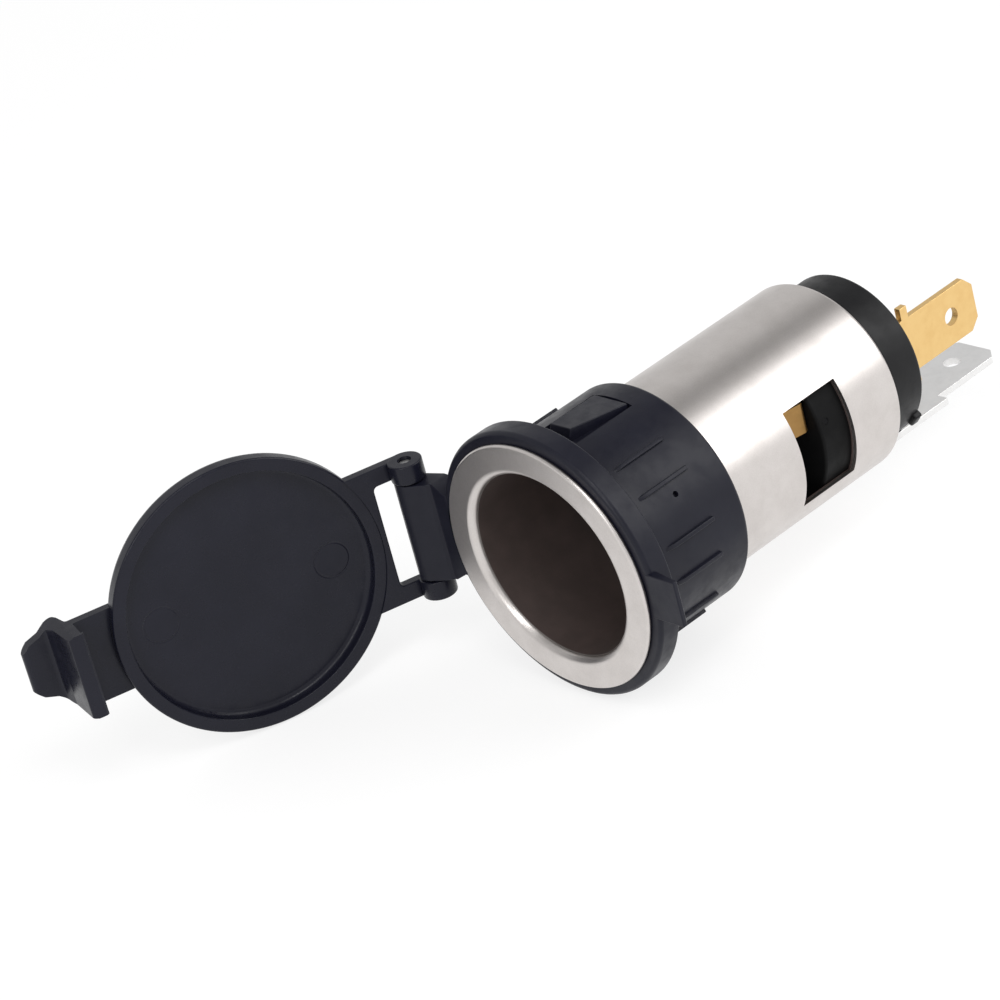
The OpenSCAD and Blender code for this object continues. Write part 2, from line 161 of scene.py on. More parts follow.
class Form:
    """A mesh in the making, in millimetres in the row frame."""

    def __init__(self) -> None:
        """Start with no faces."""
        self.bm = bmesh.new()

    @classmethod
    def lathe(cls, profile: Sequence[Point], segments: int = 144) -> "Form":
        """Turn a closed half section about the barrel axis.

        Args:
            profile: Radius and station along Y of each point.
            segments: Facets round the axis.

        Returns:
            The turned form.
        """
        made = cls()
        rows = []
        for k in range(segments):
            c, s = math.cos(TURN * k / segments), math.sin(TURN * k / segments)
            rows.append([made.bm.verts.new((r * c, y, r * s)) for r, y in profile])
        for k in range(segments):
            here, there = rows[k], rows[(k + 1) % segments]
            for i in range(len(profile)):
                j = (i + 1) % len(profile)
                if max(profile[i][0], profile[j][0]) > ON_AXIS:
                    made.bm.faces.new((here[i], here[j], there[j], there[i]))
        bmesh.ops.remove_doubles(made.bm, verts=made.bm.verts, dist=WELD)
        return made.tidy()

    @classmethod
    def prism(
        cls,
        outline: Sequence[Point],
        low: float,
        high: float,
        way: Along = Along.Z,
        soft: float = 0.0,
        soft_over: float = 28.0,
    ) -> "Form":
        """Draw an outline out into a solid and soften its edges.

        Args:
            outline: Closed outline, in the two axes that the way gives.
            low: Where the solid starts along the way.
            high: Where it ends.
            way: Which axis the outline is drawn out along.
            soft: Width of the softened edges.
            soft_over: Only edges sharper than this many degrees are softened.

        Returns:
            The drawn form.
        """
        made = cls()
        floor = [made.bm.verts.new((a, b, low)) for a, b in outline]
        top = [made.bm.verts.new((a, b, high)) for a, b in outline]
        count = len(outline)
        made.bm.faces.new(floor)
        made.bm.faces.new(top)
        for i in range(count):
            j = (i + 1) % count
            made.bm.faces.new((floor[i], floor[j], top[j], top[i]))
        made.tidy()
        made.soften(soft, soft_over)
        return made.moved(way.value)

    @classmethod
    def rod(
        cls, radius: float, low: float, high: float, soft: float = 0.0, segments: int = 48
    ) -> "Form":
        """A round bar along Z.

        Args:
            radius: Its radius.
            low: Where it starts.
            high: Where it ends.
            soft: Width of the softened edges at its ends.
            segments: Facets round it.

        Returns:
            The bar.
        """
        last = 360 - 360 / segments
        return cls.prism(arc((0, 0), radius, 0, last, segments - 1), low, high, soft=soft)

    def tidy(self) -> "Form":
        """Point every face outwards."""
        bmesh.ops.recalc_face_normals(self.bm, faces=self.bm.faces)
        return self

    def soften(self, width: float, over: float) -> "Form":
        """Bevel the edges that are sharper than an angle.

        Args:
            width: Width of the bevel, none if zero.
            over: The angle, in degrees.

        Returns:
            This form.
        """
        if width > 0:
            self.bm.normal_update()
            paired = [e for e in self.bm.edges if len(e.link_faces) == 2]
            sharp = [e for e in paired if e.calc_face_angle() > math.radians(over)]
            style = {"segments": 3, "profile": 0.5, "affect": "EDGES", "clamp_overlap": True}
            bmesh.ops.bevel(self.bm, geom=sharp, offset=width, **style)
        return self

    def moved(self, matrix: Matrix) -> "Form":
        """Move the form, and point its faces outwards again in case it is mirrored.

        Args:
            matrix: The move, in millimetres.

        Returns:
            This form.
        """
        self.bm.transform(matrix)
        return self.tidy()

    def turned(self, degrees: float) -> "Form":
        """Turn the form about the barrel axis.

        Args:
            degrees: How far, from +Z towards +X.

        Returns:
            This form.
        """
        return self.moved(Matrix.Rotation(math.radians(degrees), 4, "Y"))

    def put(self, *place: float) -> "Form":
        """Shift the form.

        Args:
            *place: How far along X, Y and Z.

        Returns:
            This form.
        """
        return self.moved(Matrix.Translation(place))

    def join(self, *others: "Form") -> "Form":
        """Take in other forms as further shells of this one.

        Args:
            *others: The forms, which are used up.

        Returns:
            This form.
        """
        for other in others:
            spare = bpy.data.meshes.new("spare")
            other.bm.to_mesh(spare)
            self.bm.from_mesh(spare)
            bpy.data.meshes.remove(spare)
            other.bm.free()
        return self

    def tapered(self, axis: int, stations: Sequence[Point], full: float) -> "Form":
        """Narrow the form across Z, by stations along another axis.

        Args:
            axis: 0 for stations along X, 1 for stations along Y.
            stations: Place and half width there, in rising order.
            full: Half width that the form has now.

        Returns:
            This form.
        """
        normal = Vector((axis == 0, axis == 1, 0))
        for place, _ in stations:
            everything = [*self.bm.verts, *self.bm.edges, *self.bm.faces]
            bmesh.ops.bisect_plane(
                self.bm, geom=everything, dist=CUT_SLACK, plane_co=normal * place, plane_no=normal
            )
        for vert in self.bm.verts:
            here = vert.co[axis]
            half = stations[0][1] if here <= stations[0][0] else stations[-1][1]
            for (low, wide), (high, thin) in zip(stations, stations[1:]):
                if low < here <= high:
                    half = wide + (thin - wide) * (here - low) / (high - low)
            vert.co.z *= half / full
        return self

    def mesh(self, name: str) -> bpy.types.Mesh:
        """Write the form out as a mesh in metres.

        Args:
            name: Name of the mesh.

        Returns:
            The mesh.
        """
        data = bpy.data.meshes.new(name)
        self.bm.transform(Matrix.Scale(MM, 4))
        self.bm.to_mesh(data)
        self.bm.free()
        return data

    def less(self, *cutters: "Form") -> "Form":
        """Cut other forms out of this one.

        Args:
            *cutters: Forms that take their shape away, and are used up.

        Returns:
            The form that is left.
        """
        base = placed("base", bpy.data.meshes.new("base"))
        self.bm.to_mesh(base.data)
        spare = [base]
        for cutter in cutters:
            other = placed("cutter", bpy.data.meshes.new("cutter"))
            cutter.bm.to_mesh(other.data)
            cutter.bm.free()
            spare.append(other)
            cut = base.modifiers.new("cut", "BOOLEAN")
            cut.operation, cut.object, cut.solver = "DIFFERENCE", other, "EXACT"
        bpy.context.view_layer.update()
        shaped = base.evaluated_get(bpy.context.evaluated_depsgraph_get())
        self.bm.clear()
        self.bm.from_mesh(shaped.to_mesh())
        shaped.to_mesh_clear()
        for item in spare:
            data = item.data
            bpy.data.objects.remove(item)
            bpy.data.meshes.remove(data)
        return self.tidy()


class Value:
    """A number in a node tree, on which plain arithmetic adds Math nodes."""

    def __init__(self, graph: "Graph", socket: Socket) -> None:
        """Wrap a socket of a graph."""
        self.graph = graph
        self.socket = socket

    def _math(self, operation: str, *parts: "Value | float") -> "Value":
        """Add one Math node.

        Args:
            operation: Blender's name for the operation.
            *parts: Its operands.

        Returns:
            The node's result.
        """
        node = self.graph.node("ShaderNodeMath", {"operation": operation}, dict(enumerate(parts)))
        return Value(self.graph, node.outputs[0])

    def __add__(self, other: "Value | float") -> "Value":
        """self + other."""
        return self._math("ADD", self, other)

    __radd__ = __add__

    def __mul__(self, other: "Value | float") -> "Value":
        """self * other."""
        return self._math("MULTIPLY", self, other)

    __rmul__ = __mul__

    def __rsub__(self, other: float) -> "Value":
        """other - self."""
        return self._math("SUBTRACT", other, self)

    def __pow__(self, other: float) -> "Value":
        """self ** other."""
        return self._math("POWER", self, other)

    def step(self, low: float, high: float) -> "Value":
        """Ease from 0 at low to 1 at high, or back if low is the greater.

        Args:
            low: Value that gives 0.
            high: Value that gives 1.

        Returns:
            The eased value.
        """
        falling = low > high
        first, last = (high, low) if falling else (low, high)
        node = self.graph.node(
            "ShaderNodeMapRange",
            {"interpolation_type": "SMOOTHSTEP"},
            {"Value": self, "From Min": first, "From Max": last},
        )
        eased = Value(self.graph, node.outputs["Result"])
        return 1 - eased if falling else eased


class Graph:
    """One node tree under construction."""

    def __init__(self, tree: bpy.types.NodeTree) -> None:
        """Empty the tree.

        Args:
            tree: The node tree of a material or of the world.
        """
        self.tree = tree
        tree.nodes.clear()

    def node(
        self,
        kind: str,
        settings: Mapping[str, object] | None = None,
        inputs: Mapping[str | int, object] | None = None,
    ) -> bpy.types.Node:
        """Add a node, its settings first and then its sockets.

        Args:
            kind: Blender's type name.
            settings: Properties of the node.
            inputs: Values, values in the tree or sockets, by socket name or number.

        Returns:
            The node.
        """
        made = self.tree.nodes.new(kind)
        for key, value in (settings or {}).items():
            setattr(made, key, value)
        for key, value in (inputs or {}).items():
            if isinstance(value, Value):
                value = value.socket
            if isinstance(value, Socket):
                self.tree.links.new(value, made.inputs[key])
            else:
                made.inputs[key].default_value = value
        return made

    def place(self) -> Socket:
        """The place on the piece.

        Returns:
            Its coordinates, in millimetres in the row frame.
        """
        where = self.node("ShaderNodeTexCoord").outputs["Object"]
        inputs = {0: where, "Scale": 1 / MM}
        return self.node("ShaderNodeVectorMath", {"operation": "SCALE"}, inputs).outputs[0]

    def stretched(self, where: Socket, by: Place) -> Socket:
        """Scale a vector axis by axis.

        Args:
            where: The vector.
            by: The scale along each axis.

        Returns:
            The scaled vector.
        """
        made = self.node("ShaderNodeVectorMath", {"operation": "MULTIPLY"}, {0: where, 1: by})
        return made.outputs[0]

    def distance(self, where: Socket, centre: Place) -> Value:
        """Distance from a point.

        Args:
            where: Coordinates in millimetres.
            centre: The point, in millimetres.

        Returns:
            The distance, in millimetres.
        """
        made = self.node("ShaderNodeVectorMath", {"operation": "DISTANCE"}, {0: where, 1: centre})
        return Value(self, made.outputs["Value"])

    def axes(self, where: Socket) -> tuple[Value, Value, Value]:
        """Split a vector.

        Args:
            where: The vector.

        Returns:
            Its three numbers.
        """
        split = self.node("ShaderNodeSeparateXYZ", None, {0: where})
        return tuple(Value(self, s) for s in split.outputs)

    def noise(self, where: Socket, scale: float, detail: float = 2.0, rough: float = 0.5) -> Value:
        """Soft noise between 0 and 1.

        Args:
            where: Coordinates in millimetres.
            scale: Features per millimetre.
            detail: Octaves.
            rough: Strength of the finer octaves.

        Returns:
            The noise.
        """
        inputs = {"Vector": where, "Scale": scale, "Detail": detail, "Roughness": rough}
        return Value(self, self.node("ShaderNodeTexNoise", None, inputs).outputs[0])

    def blend(self, share: Value | float, first: object, last: object) -> Socket:
        """Mix two colours.

        Args:
            share: How much of the last one shows.
            first: A colour or a colour socket.
            last: A colour or a colour socket.

        Returns:
            The mixed colour.
        """
        ends = [(*c, 1) if isinstance(c, tuple) else c for c in (first, last)]
        made = self.node("ShaderNodeMix", {"data_type": "RGBA"}, {0: share, 6: ends[0], 7: ends[1]})
        return made.outputs[2]

    def bump(self, height: Value, depth: float, under: Socket | None = None) -> Socket:
        """Turn a height into a normal.

        Args:
            height: The height, about 0 to 1.
            depth: What 1 stands for, in millimetres.
            under: A normal that this one adds to.

        Returns:
            The normal.
        """
        inputs: dict[str, object] = {"Height": height, "Strength": 1.0, "Distance": depth * MM}
        if under is not None:
            inputs["Normal"] = under
        return self.node("ShaderNodeBump", None, inputs).outputs[0]

    def surface(
        self, colour: Socket, rough: Value, normal: Socket, others: Mapping[str, object]
    ) -> None:
        """End the tree with one Principled shader.

        Args:
            colour: Its base colour.
            rough: Its roughness.
            normal: Its normal.
            others: Its other sockets.
        """
        inputs = {"Base Color": colour, "Roughness": rough, "Normal": normal, **others}
        shader = self.node("ShaderNodeBsdfPrincipled", None, inputs)
        self.node("ShaderNodeOutputMaterial", None, {"Surface": shader.outputs[0]})


@dataclass(frozen=True)
class Finish:
    """A finish that a piece can be given, and the record's slot that it stands for."""

    slot: str

    def material(self) -> bpy.types.Material:
        """Build the material once and hand it out again after that.

        Returns:
            The material.
        """
        title = "dressed_" + self.slot
        known = bpy.data.materials.get(title)
        if known is not None:
            return known
        made = bpy.data.materials.new(title)
        made.use_nodes = True
        self.shade(Graph(made.node_tree))
        return made

    def shade(self, graph: Graph) -> None:
        """Fill the material's tree.

        Args:
            graph: The tree, still empty.
        """
        raise NotImplementedError


@dataclass(frozen=True)
class MouldedPlastic(Finish):
    """Moulded plastic with a fine skin and the smudges of handling."""

    colour: Colour
    lifted: Colour
    roughness: float
    gloss: float = 0.26
    cloud_scale: float = 0.16
    smudge_scale: float = 0.55
    grain_scale: float = 7.0
    skin_scale: float = 1.3
    wave_scale: float = 0.3
    grain_depth: float = 0.006
    wave_depth: float = 0.06
    marks: tuple[tuple[Place, float], ...] = ()
    mark_depth: float = 0.05
    # Pits are bumps with painted shade, a colour that darkens each pit towards its middle.
    pits: tuple[tuple[Place, float], ...] = ()
    pit_depth: float = 0.25
    pit_shade_colour: Colour = (0.004, 0.004, 0.005)

    def shade(self, graph: Graph) -> None:
        """Blue-black skin, uneven gloss, any ejector marks, and pits with painted shade in them."""
        where = graph.place()
        cloud = graph.noise(where, self.cloud_scale, 3.0)
        smudge = graph.noise(where, self.smudge_scale, 5.0, 0.62).step(0.36, 0.7)
        grain = graph.noise(where, self.grain_scale, 2.0)
        colour = graph.blend(cloud.step(0.3, 0.75), self.colour, self.lifted)
        rough = self.roughness + 0.13 * smudge + 0.05 * grain
        skin = grain + 0.5 * graph.noise(where, self.skin_scale, 1.0)
        wave = graph.noise(where, self.wave_scale, 2.0)
        normal = graph.bump(wave, self.wave_depth, graph.bump(skin, self.grain_depth))
        for centre, radius in self.marks:
            away = graph.distance(where, centre)
            ring = away.step(radius - 0.22, radius - 0.08) * away.step(radius + 0.1, radius - 0.04)
            normal = graph.bump(1 - ring, self.mark_depth, normal)
            rough = rough + 0.05 * away.step(radius, radius - 0.2)
        for centre, radius in self.pits:
            # Painted shade: besides the bump, the colour darkens towards each pit's middle.
            deep = graph.distance(where, centre).step(radius, 0.6 * radius)
            normal = graph.bump(1 - deep, self.pit_depth, normal)
            colour = graph.blend(deep * 0.7, colour, self.pit_shade_colour)
        graph.surface(colour, rough, normal, {"IOR": 1.5, "Specular IOR Level": self.gloss})


@dataclass(frozen=True)
class PlatedShell(Finish):
    """Satin nickel over drawn steel, with painted shade inside the barrel: dull, dark brown and not
    metallic there.
    """

    plate: Colour
    dull: Colour
    # Painted shade for the bore: a dull dark brown with lighter patches.
    inside: Colour
    shade_patch_colour: Colour
    roughness: float = 0.28
    inside_rougher: float = 0.3
    drawn_scale: Place = (3.2, 0.14, 3.2)
    cloud_scale: float = 0.32
    speck_scale: float = 8.0
    shade_patch_scale: float = 0.4
    depth: float = 0.009
    bore_r: float = 10.5
    lip_y: float = -2.4

    def shade(self, graph: Graph) -> None:
        """Faint drawn lines, cloudy plating and painted shade in the bore, which starts behind the
        lip.
        """
        where = graph.place()
        x, y, z = graph.axes(where)
        radius = (x * x + z * z) ** 0.5
        drawn = graph.noise(graph.stretched(where, self.drawn_scale), 1.0, 3.0, 0.6)
        cloud = graph.noise(where, self.cloud_scale, 5.0, 0.6)
        speck = graph.noise(where, self.speck_scale, 3.0, 0.6)
        share = 0.6 * cloud.step(0.3, 0.75) + 0.4 * speck.step(0.35, 0.7)
        colour = graph.blend(share, self.plate, self.dull)
        # Painted shade: from just behind the lip, the bore is dark brown, rougher and not metallic.
        within = radius.step(self.bore_r + 0.06, self.bore_r + 0.02)
        inner = within * y.step(self.lip_y - 0.2, self.lip_y)
        shade_patches = graph.noise(where, self.shade_patch_scale, 4.0).step(0.3, 0.8)
        colour = graph.blend(inner, colour, graph.blend(shade_patches, self.inside, self.shade_patch_colour))
        rough = self.roughness + 0.08 * cloud + 0.06 * drawn + self.inside_rougher * inner
        normal = graph.bump(0.4 * drawn + 0.6 * speck, self.depth)
        graph.surface(colour, rough, normal, {"Metallic": 1 - inner})


@dataclass(frozen=True)
class RolledMetal(Finish):
    """Strip or wire with rolling marks along one axis."""

    colour: Colour
    tarnish: Colour
    roughness: float
    rolled_scale: Place = (4.0, 0.25, 4.0)
    cloud_scale: float = 0.7
    tarnished: float = 0.5
    depth: float = 0.006

    def shade(self, graph: Graph) -> None:
        """Rolling marks, a little tarnish and uneven gloss."""
        where = graph.place()
        rolled = graph.noise(graph.stretched(where, self.rolled_scale), 1.0, 3.0, 0.6)
        cloud = graph.noise(where, self.cloud_scale, 4.0, 0.6)
        colour = graph.blend(cloud.step(0.35, 0.8) * self.tarnished, self.colour, self.tarnish)
        rough = self.roughness + 0.12 * rolled + 0.08 * cloud
        graph.surface(colour, rough, graph.bump(rolled, self.depth), {"Metallic": 1.0})


BLUE_BLACK: Colour = (0.006, 0.0063, 0.0135)
BLUE_BLACK_LIFTED: Colour = (0.0088, 0.0092, 0.0178)
BEZEL_PLASTIC = MouldedPlastic("bezel_plastic", BLUE_BLACK, BLUE_BLACK_LIFTED, 0.32)
BLACK = MouldedPlastic(
    "insulator_black",
    (0.0025, 0.0025, 0.0028),
    (0.0042, 0.0042, 0.0045),
    0.5,
    gloss=0.12,
    # The pit in the insulator's side, with painted shade in it.
    pits=(((10.2, 28.7, 2.05), 0.45),),
)
CAP_BLACK = MouldedPlastic("cap_black", (0.0045, 0.0045, 0.0055), (0.008, 0.008, 0.009), 0.36)
NICKEL = PlatedShell(
    "nickel_shell",
    plate=(0.68, 0.643, 0.622),
    dull=(0.58, 0.545, 0.523),
    # Painted shade for the bore.
    inside=(0.058, 0.041, 0.037),
    shade_patch_colour=(0.074, 0.052, 0.047),
)
TERMINAL_BRASS = RolledMetal("terminal_brass", (0.84, 0.58, 0.25), (0.74, 0.47, 0.18), 0.28)
# Painted shade: the clip's brass is a darker copy of brass, for the clip deep in the shell.
SHADED_CLIP_BRASS = RolledMetal("clip_brass", (0.40, 0.235, 0.085), (0.29, 0.165, 0.058), 0.34)
PALE_BRASS: Colour = (0.74, 0.54, 0.25)
PALE_BRASS_DULL: Colour = (0.55, 0.36, 0.15)
CONTACT_BRASS = RolledMetal("contact_brass", PALE_BRASS, PALE_BRASS_DULL, 0.28, (2, 2, 2))
RIVET_BRASS = RolledMetal("rivet_brass", PALE_BRASS, PALE_BRASS_DULL, 0.28, (2, 2, 2))
TINNED = RolledMetal("tinned_strip", (0.86, 0.855, 0.85), (0.76, 0.755, 0.75), 0.32)
PIN_STEEL = RolledMetal("pin_steel", (0.5, 0.5, 0.5), (0.35, 0.34, 0.33), 0.32, (3, 3, 0.3))
WASHER_STEEL = RolledMetal("washer_steel", (0.6, 0.6, 0.61), (0.48, 0.48, 0.48), 0.3, (2, 2, 2))


@dataclass
class Part:
    """A sub-assembly: what it is made of and where it rides."""

    body: Body = Body.SOCKET

    def piece(
        self,
        name: str,
        form: Form,
        finish: Finish,
        nodes: Sequence[str],
        sharp: float = 38.0,
    ) -> bpy.types.Object:
        """Turn a form into a dressed object that rides with its body.

        Args:
            name: Name of the object.
            form: Its shape.
            finish: Its finish.
            nodes: The CAD nodes that it stands for.
            sharp: Edges sharper than this many degrees stay crisp.

        Returns:
            The object.
        """
        data = form.mesh(name)
        data.shade_smooth()
        data.set_sharp_from_angle(angle=math.radians(sharp))
        made = placed(name, data)
        data.materials.append(finish.material())
        even = made.modifiers.new("even_normals", "WEIGHTED_NORMAL")
        even.keep_sharp = True
        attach(made, self.body.value)
        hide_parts(*nodes)
        log.info("%s: %d faces, stands for %s", name, len(data.polygons), ", ".join(nodes))
        return made


@dataclass
class Bezel(Part):
    """The plastic flange and barrel that hold the shell in a panel."""

    flange_r: float = 15.2
    flange_t: float = 2.7
    barrel_r: float = 12.6
    barrel_len: float = 13.3
    bore_r: float = 11.05
    bore_lead: float = 0.37
    front_round: float = 0.5
    rear_round: float = 0.25
    root_round: float = 0.18
    end_round: float = 0.5
    sink: float = 0.3
    past_r: float = 14.0
    rib_angles: tuple[float, ...] = (9.3, 35.8, 53.0)
    rib_start: float = 2.05
    rib_len: float = 7.0
    rib_h: float = 0.35
    rib_w: float = 0.5
    rib_lead: float = 1.4
    wedge_half: float = 2.4
    wedge_front_half: float = 1.45
    wedge_h: float = 0.6
    wedge_lead: float = 0.6
    wedge_drop: float = 0.08
    wedge_y: Point = (3.0, 10.1)
    pocket_half: float = 2.85
    pocket_y: Point = (2.2, 10.3)
    pocket_z: float = 11.85
    dimple_r: float = 0.33
    dimple_depth: float = 0.5
    dimple_y: float = 6.28
    dimple_angle: float = 28.6
    hinge: Point = (-19.4, -2.75)
    knuckle_r: float = 1.7
    knuckle_half: float = 5.75
    pin_hole_r: float = 0.8
    web_in: float = 2.8
    catch_half: float = 2.6
    catch_reach: float = 18.4
    catch_t: float = 0.55
    catch_root_t: float = 1.0

    def turned_body(self) -> Form:
        """Flange and barrel, with a moulded root between them."""
        front, r = -self.flange_t, self.flange_r
        profile = [
            (self.bore_r, self.barrel_len, 0.1),
            (self.bore_r, front + self.bore_lead),
            (self.bore_r + self.bore_lead, front, 0.05),
            (r, front, self.front_round),
            (r, 0, self.rear_round),
            (self.barrel_r, 0, self.root_round),
            (self.barrel_r, self.barrel_len, self.end_round),
        ]
        return Form.lathe(rounded(profile), 192)

    def pocket(self) -> Form:
        """What the pocket round a snap wedge takes away."""
        outline = rectangle(-self.pocket_half, self.pocket_half, *self.pocket_y)
        return Form.prism(outline, self.pocket_z, self.past_r)

    def dimple(self) -> Form:
        """What the small round pit in the barrel's side takes away."""
        low, high = self.barrel_r - self.dimple_depth, self.barrel_r + 1
        drill = Form.rod(self.dimple_r, low, high, segments=24)
        return drill.turned(90 - self.dimple_angle).put(0, self.dimple_y, 0)

    def rib(self, angle: float) -> Form:
        """One crush rib with a rounded crest and a long slope at its front.

        Args:
            angle: Its place round the barrel, in degrees from +X towards +Z.

        Returns:
            The rib.
        """
        root, crest = self.barrel_r - self.sink, self.barrel_r + self.rib_h
        low, end = self.rib_start, self.rib_start + self.rib_len
        nose = (self.barrel_r - 0.05, low)
        side = [(root, low), nose, (crest, low + self.rib_lead), (crest, end), (root, end)]
        return Form.prism(side, -self.rib_w / 2, self.rib_w / 2, soft=0.16).turned(-angle)

    def wedge(self) -> Form:
        """A snap wedge, narrow and high at its front, wide and just sunk at its rear."""
        r, (low, high) = self.barrel_r, self.wedge_y
        root, foot, half = self.pocket_z - self.sink, low - self.wedge_lead, self.wedge_half
        front, rear = (r + self.wedge_h, low), (r - self.wedge_drop, high)
        side = [(root, foot), (self.pocket_z, foot), front, rear, (root, high)]
        made = Form.prism(side, -half, half)
        made.tapered(1, [(low, self.wedge_front_half), (high, half)], half)
        return made.soften(0.09, 28).turned(-90)

    def hinge_block(self) -> Form:
        """The hinge block with its central knuckle and pin hole."""
        x, y = self.hinge
        web, front, root = x + self.web_in, -self.flange_t, 1 - self.flange_r
        top = y + self.knuckle_r - 0.1
        corners = [(x + 0.75, y - 1.5), (web, front - 0.35, 0.3), (web + 0.3, front, 0.1)]
        corners += [(root, front), (root, -0.3), (web, -0.3, 0.3), (x + 0.6, top)]
        outline = arc((x, y), self.knuckle_r, 110, 262, 18) + rounded(corners, 3)
        half = self.knuckle_half
        widths = [(-self.flange_r - 0.9, half), (-self.flange_r + 0.75, half - 1)]
        block = Form.prism(outline, -half, half).tapered(0, widths, half).soften(0.14, 35)
        return block.less(Form.rod(self.pin_hole_r, -half - 1, half + 1).put(x, y, 0))

    def catch_tab(self) -> Form:
        """The tab that the lid's hook snaps behind."""
        front, root, end = -self.flange_t - 0.05, self.flange_r - 1, self.catch_reach
        rear, deep = front + self.catch_t, front + self.catch_root_t
        outline = [(root, front), (end, front), (end, rear), (self.flange_r, deep), (root, deep)]
        return Form.prism(outline, -self.catch_half, self.catch_half, soft=0.14)

    def build(self) -> None:
        """Build the moulding and dress it."""
        form = self.turned_body().less(self.pocket(), self.pocket().turned(180), self.dimple())
        for angle in self.rib_angles:
            for place in (angle, -angle, 180 - angle, 180 + angle):
                form.join(self.rib(place))
        form.join(self.wedge(), self.wedge().turned(180), self.hinge_block(), self.catch_tab())
        self.piece("bezel_moulding", form, BEZEL_PLASTIC, ["bezel"])


@dataclass
class Shell(Part):
    """The drawn steel shell with its rolled mouth, ring and side window."""

    bore_r: float = 10.5
    wall: float = 0.5
    seat_r: float = 10.3
    front: float = -3.3
    ring_r: float = 14.0
    ring_t: float = 0.6
    lip_r: float = 0.9
    bore_end: float = 22.3
    rear: float = 38.7
    rear_hole_r: float = 8.6
    window_y: Point = (23.7, 31.5)
    window_half: float = 5.5
    past_r: float = 14.0
    notch_half: float = 5.0
    notch_y: Point = (37.0, 40.0)
    notch_z: Point = (-9.2, -8.2)

    def build(self) -> None:
        """Turn the cup, cut its window and its notch, and dress it."""
        back = self.front + self.ring_t
        profile = [
            (self.bore_r, self.front, self.lip_r),
            (self.ring_r, self.front, 0.3),
            (self.ring_r, back, 0.28),
            (self.bore_r + self.wall, back, 0.3),
            (self.bore_r + self.wall, self.rear, 0.5),
            (self.rear_hole_r, self.rear, 0.1),
            (self.rear_hole_r, self.rear - self.wall, 0.1),
            (self.seat_r, self.rear - self.wall, 0.2),
            (self.seat_r, self.bore_end, 0.05),
            (self.bore_r, self.bore_end, 0.05),
        ]
        cup = Form.lathe(rounded(profile, 8), 240)
        side, half = rectangle(0, self.past_r, *self.window_y), self.window_half
        window = Form.prism(side, -half, half)
        top = rectangle(-self.notch_half, self.notch_half, *self.notch_y)
        notch = Form.prism(top, *self.notch_z)
        self.piece("steel_shell", cup.less(window, notch), NICKEL, ["shell"], sharp=50)


@dataclass
class Contacts(Part):
    """What stands on the axis inside the shell, and the rivet that holds it."""

    front: float = 27.6
    insulator_r: float = 10.27
    boss_r: float = 5.85
    ground_y: float = 37.4
    rear: float = 38.2
    rivet_r: float = 1.6
    hole_r: float = 1.65
    clip_t: float = 0.5
    clip_root: float = 4.2
    clip_z: Point = (1.2, 4.6)
    clip_x: float = 8.7
    clip_len: float = 4.3
    clip_lean: float = 12.0
    button_r: float = 3.6
    button_t: float = 0.8
    head_r: float = 2.5
    tail_y: float = 45.25
    washer_r: float = 3.4
    washer_t: float = 0.5

    def insulator(self) -> Form:
        """The black plug at the bottom of the shell."""
        profile = [
            (self.hole_r, self.front),
            (self.insulator_r, self.front, 0.3),
            (self.insulator_r, self.ground_y, 0.2),
            (self.boss_r, self.ground_y),
            (self.boss_r, self.rear),
            (self.hole_r, self.rear),
        ]
        return Form.lathe(rounded(profile), 144)

    def clip(self) -> Form:
        """The brass strip with its two sprung fingers."""
        y = self.front - self.clip_t
        r = self.boss_r - 0.6
        made = Form.lathe(rectangle(self.hole_r, r, y, self.front), 96)
        lean = math.radians(self.clip_lean)
        t = self.clip_t
        tip_x = self.clip_x - t / 2 - self.clip_len * math.sin(lean)
        tip_y = self.front - self.clip_len * math.cos(lean)
        side = [
            (self.clip_root, y),
            (self.clip_x - t, y, 0.15),
            (tip_x - t / 2, tip_y, 0.1),
            (tip_x + t / 2, tip_y, 0.1),
            (self.clip_x, self.front, 0.45),
            (self.clip_root, self.front),
        ]
        for turn in (0, 180):
            made.join(Form.prism(rounded(side), *self.clip_z, soft=0.06).turned(turn))
        return made

    def button(self) -> Form:
        """The dished contact under the rivet's head."""
        rear = self.front - self.clip_t
        front, r = rear - self.button_t, self.button_r
        profile = [(self.hole_r, rear), (r, rear, 0.1), (r, rear - 0.4, 0.15)]
        profile += [(r - 0.6, front, 0.2), (self.hole_r, front)]
        return Form.lathe(rounded(profile), 72)

    def rivet(self) -> Form:
        """The rivet, from its head in the bore to its tail behind the cap."""
        head, tail = self.front - self.clip_t - self.button_t, self.tail_y
        r, out = self.rivet_r, self.head_r
        profile = [(0, head - 0.9), (1.2, head - 0.7), (2.1, head - 0.35), (out, head - 0.1)]
        profile += [(out, head), (r, head), (r, tail), (out, tail), (2.4, tail + 0.2)]
        profile += [(1.8, tail + 0.65), (0.9, tail + 0.7), (0.7, tail + 0.45), (0, tail + 0.4)]
        return Form.lathe(profile, 64)

    def washer(self) -> Form:
        """The washer under the rivet's tail."""
        low, high, r = self.tail_y - self.washer_t, self.tail_y, self.washer_r
        profile = [(self.hole_r, low), (r, low), (r, high, 0.15), (self.hole_r, high, 0.1)]
        return Form.lathe(rounded(profile), 72)

    def build(self) -> None:
        """Build and dress the stack."""
        self.piece("inner_plug", self.insulator(), BLACK, ["inner_insulator"])
        self.piece("sprung_clip", self.clip(), SHADED_CLIP_BRASS, ["contact_clip"])
        self.piece("contact_button", self.button(), CONTACT_BRASS, ["centre_contact"])
        self.piece("axis_rivet", self.rivet(), RIVET_BRASS, ["centre_rivet"])
        self.piece("tail_washer", self.washer(), WASHER_STEEL, ["rivet_washer"])


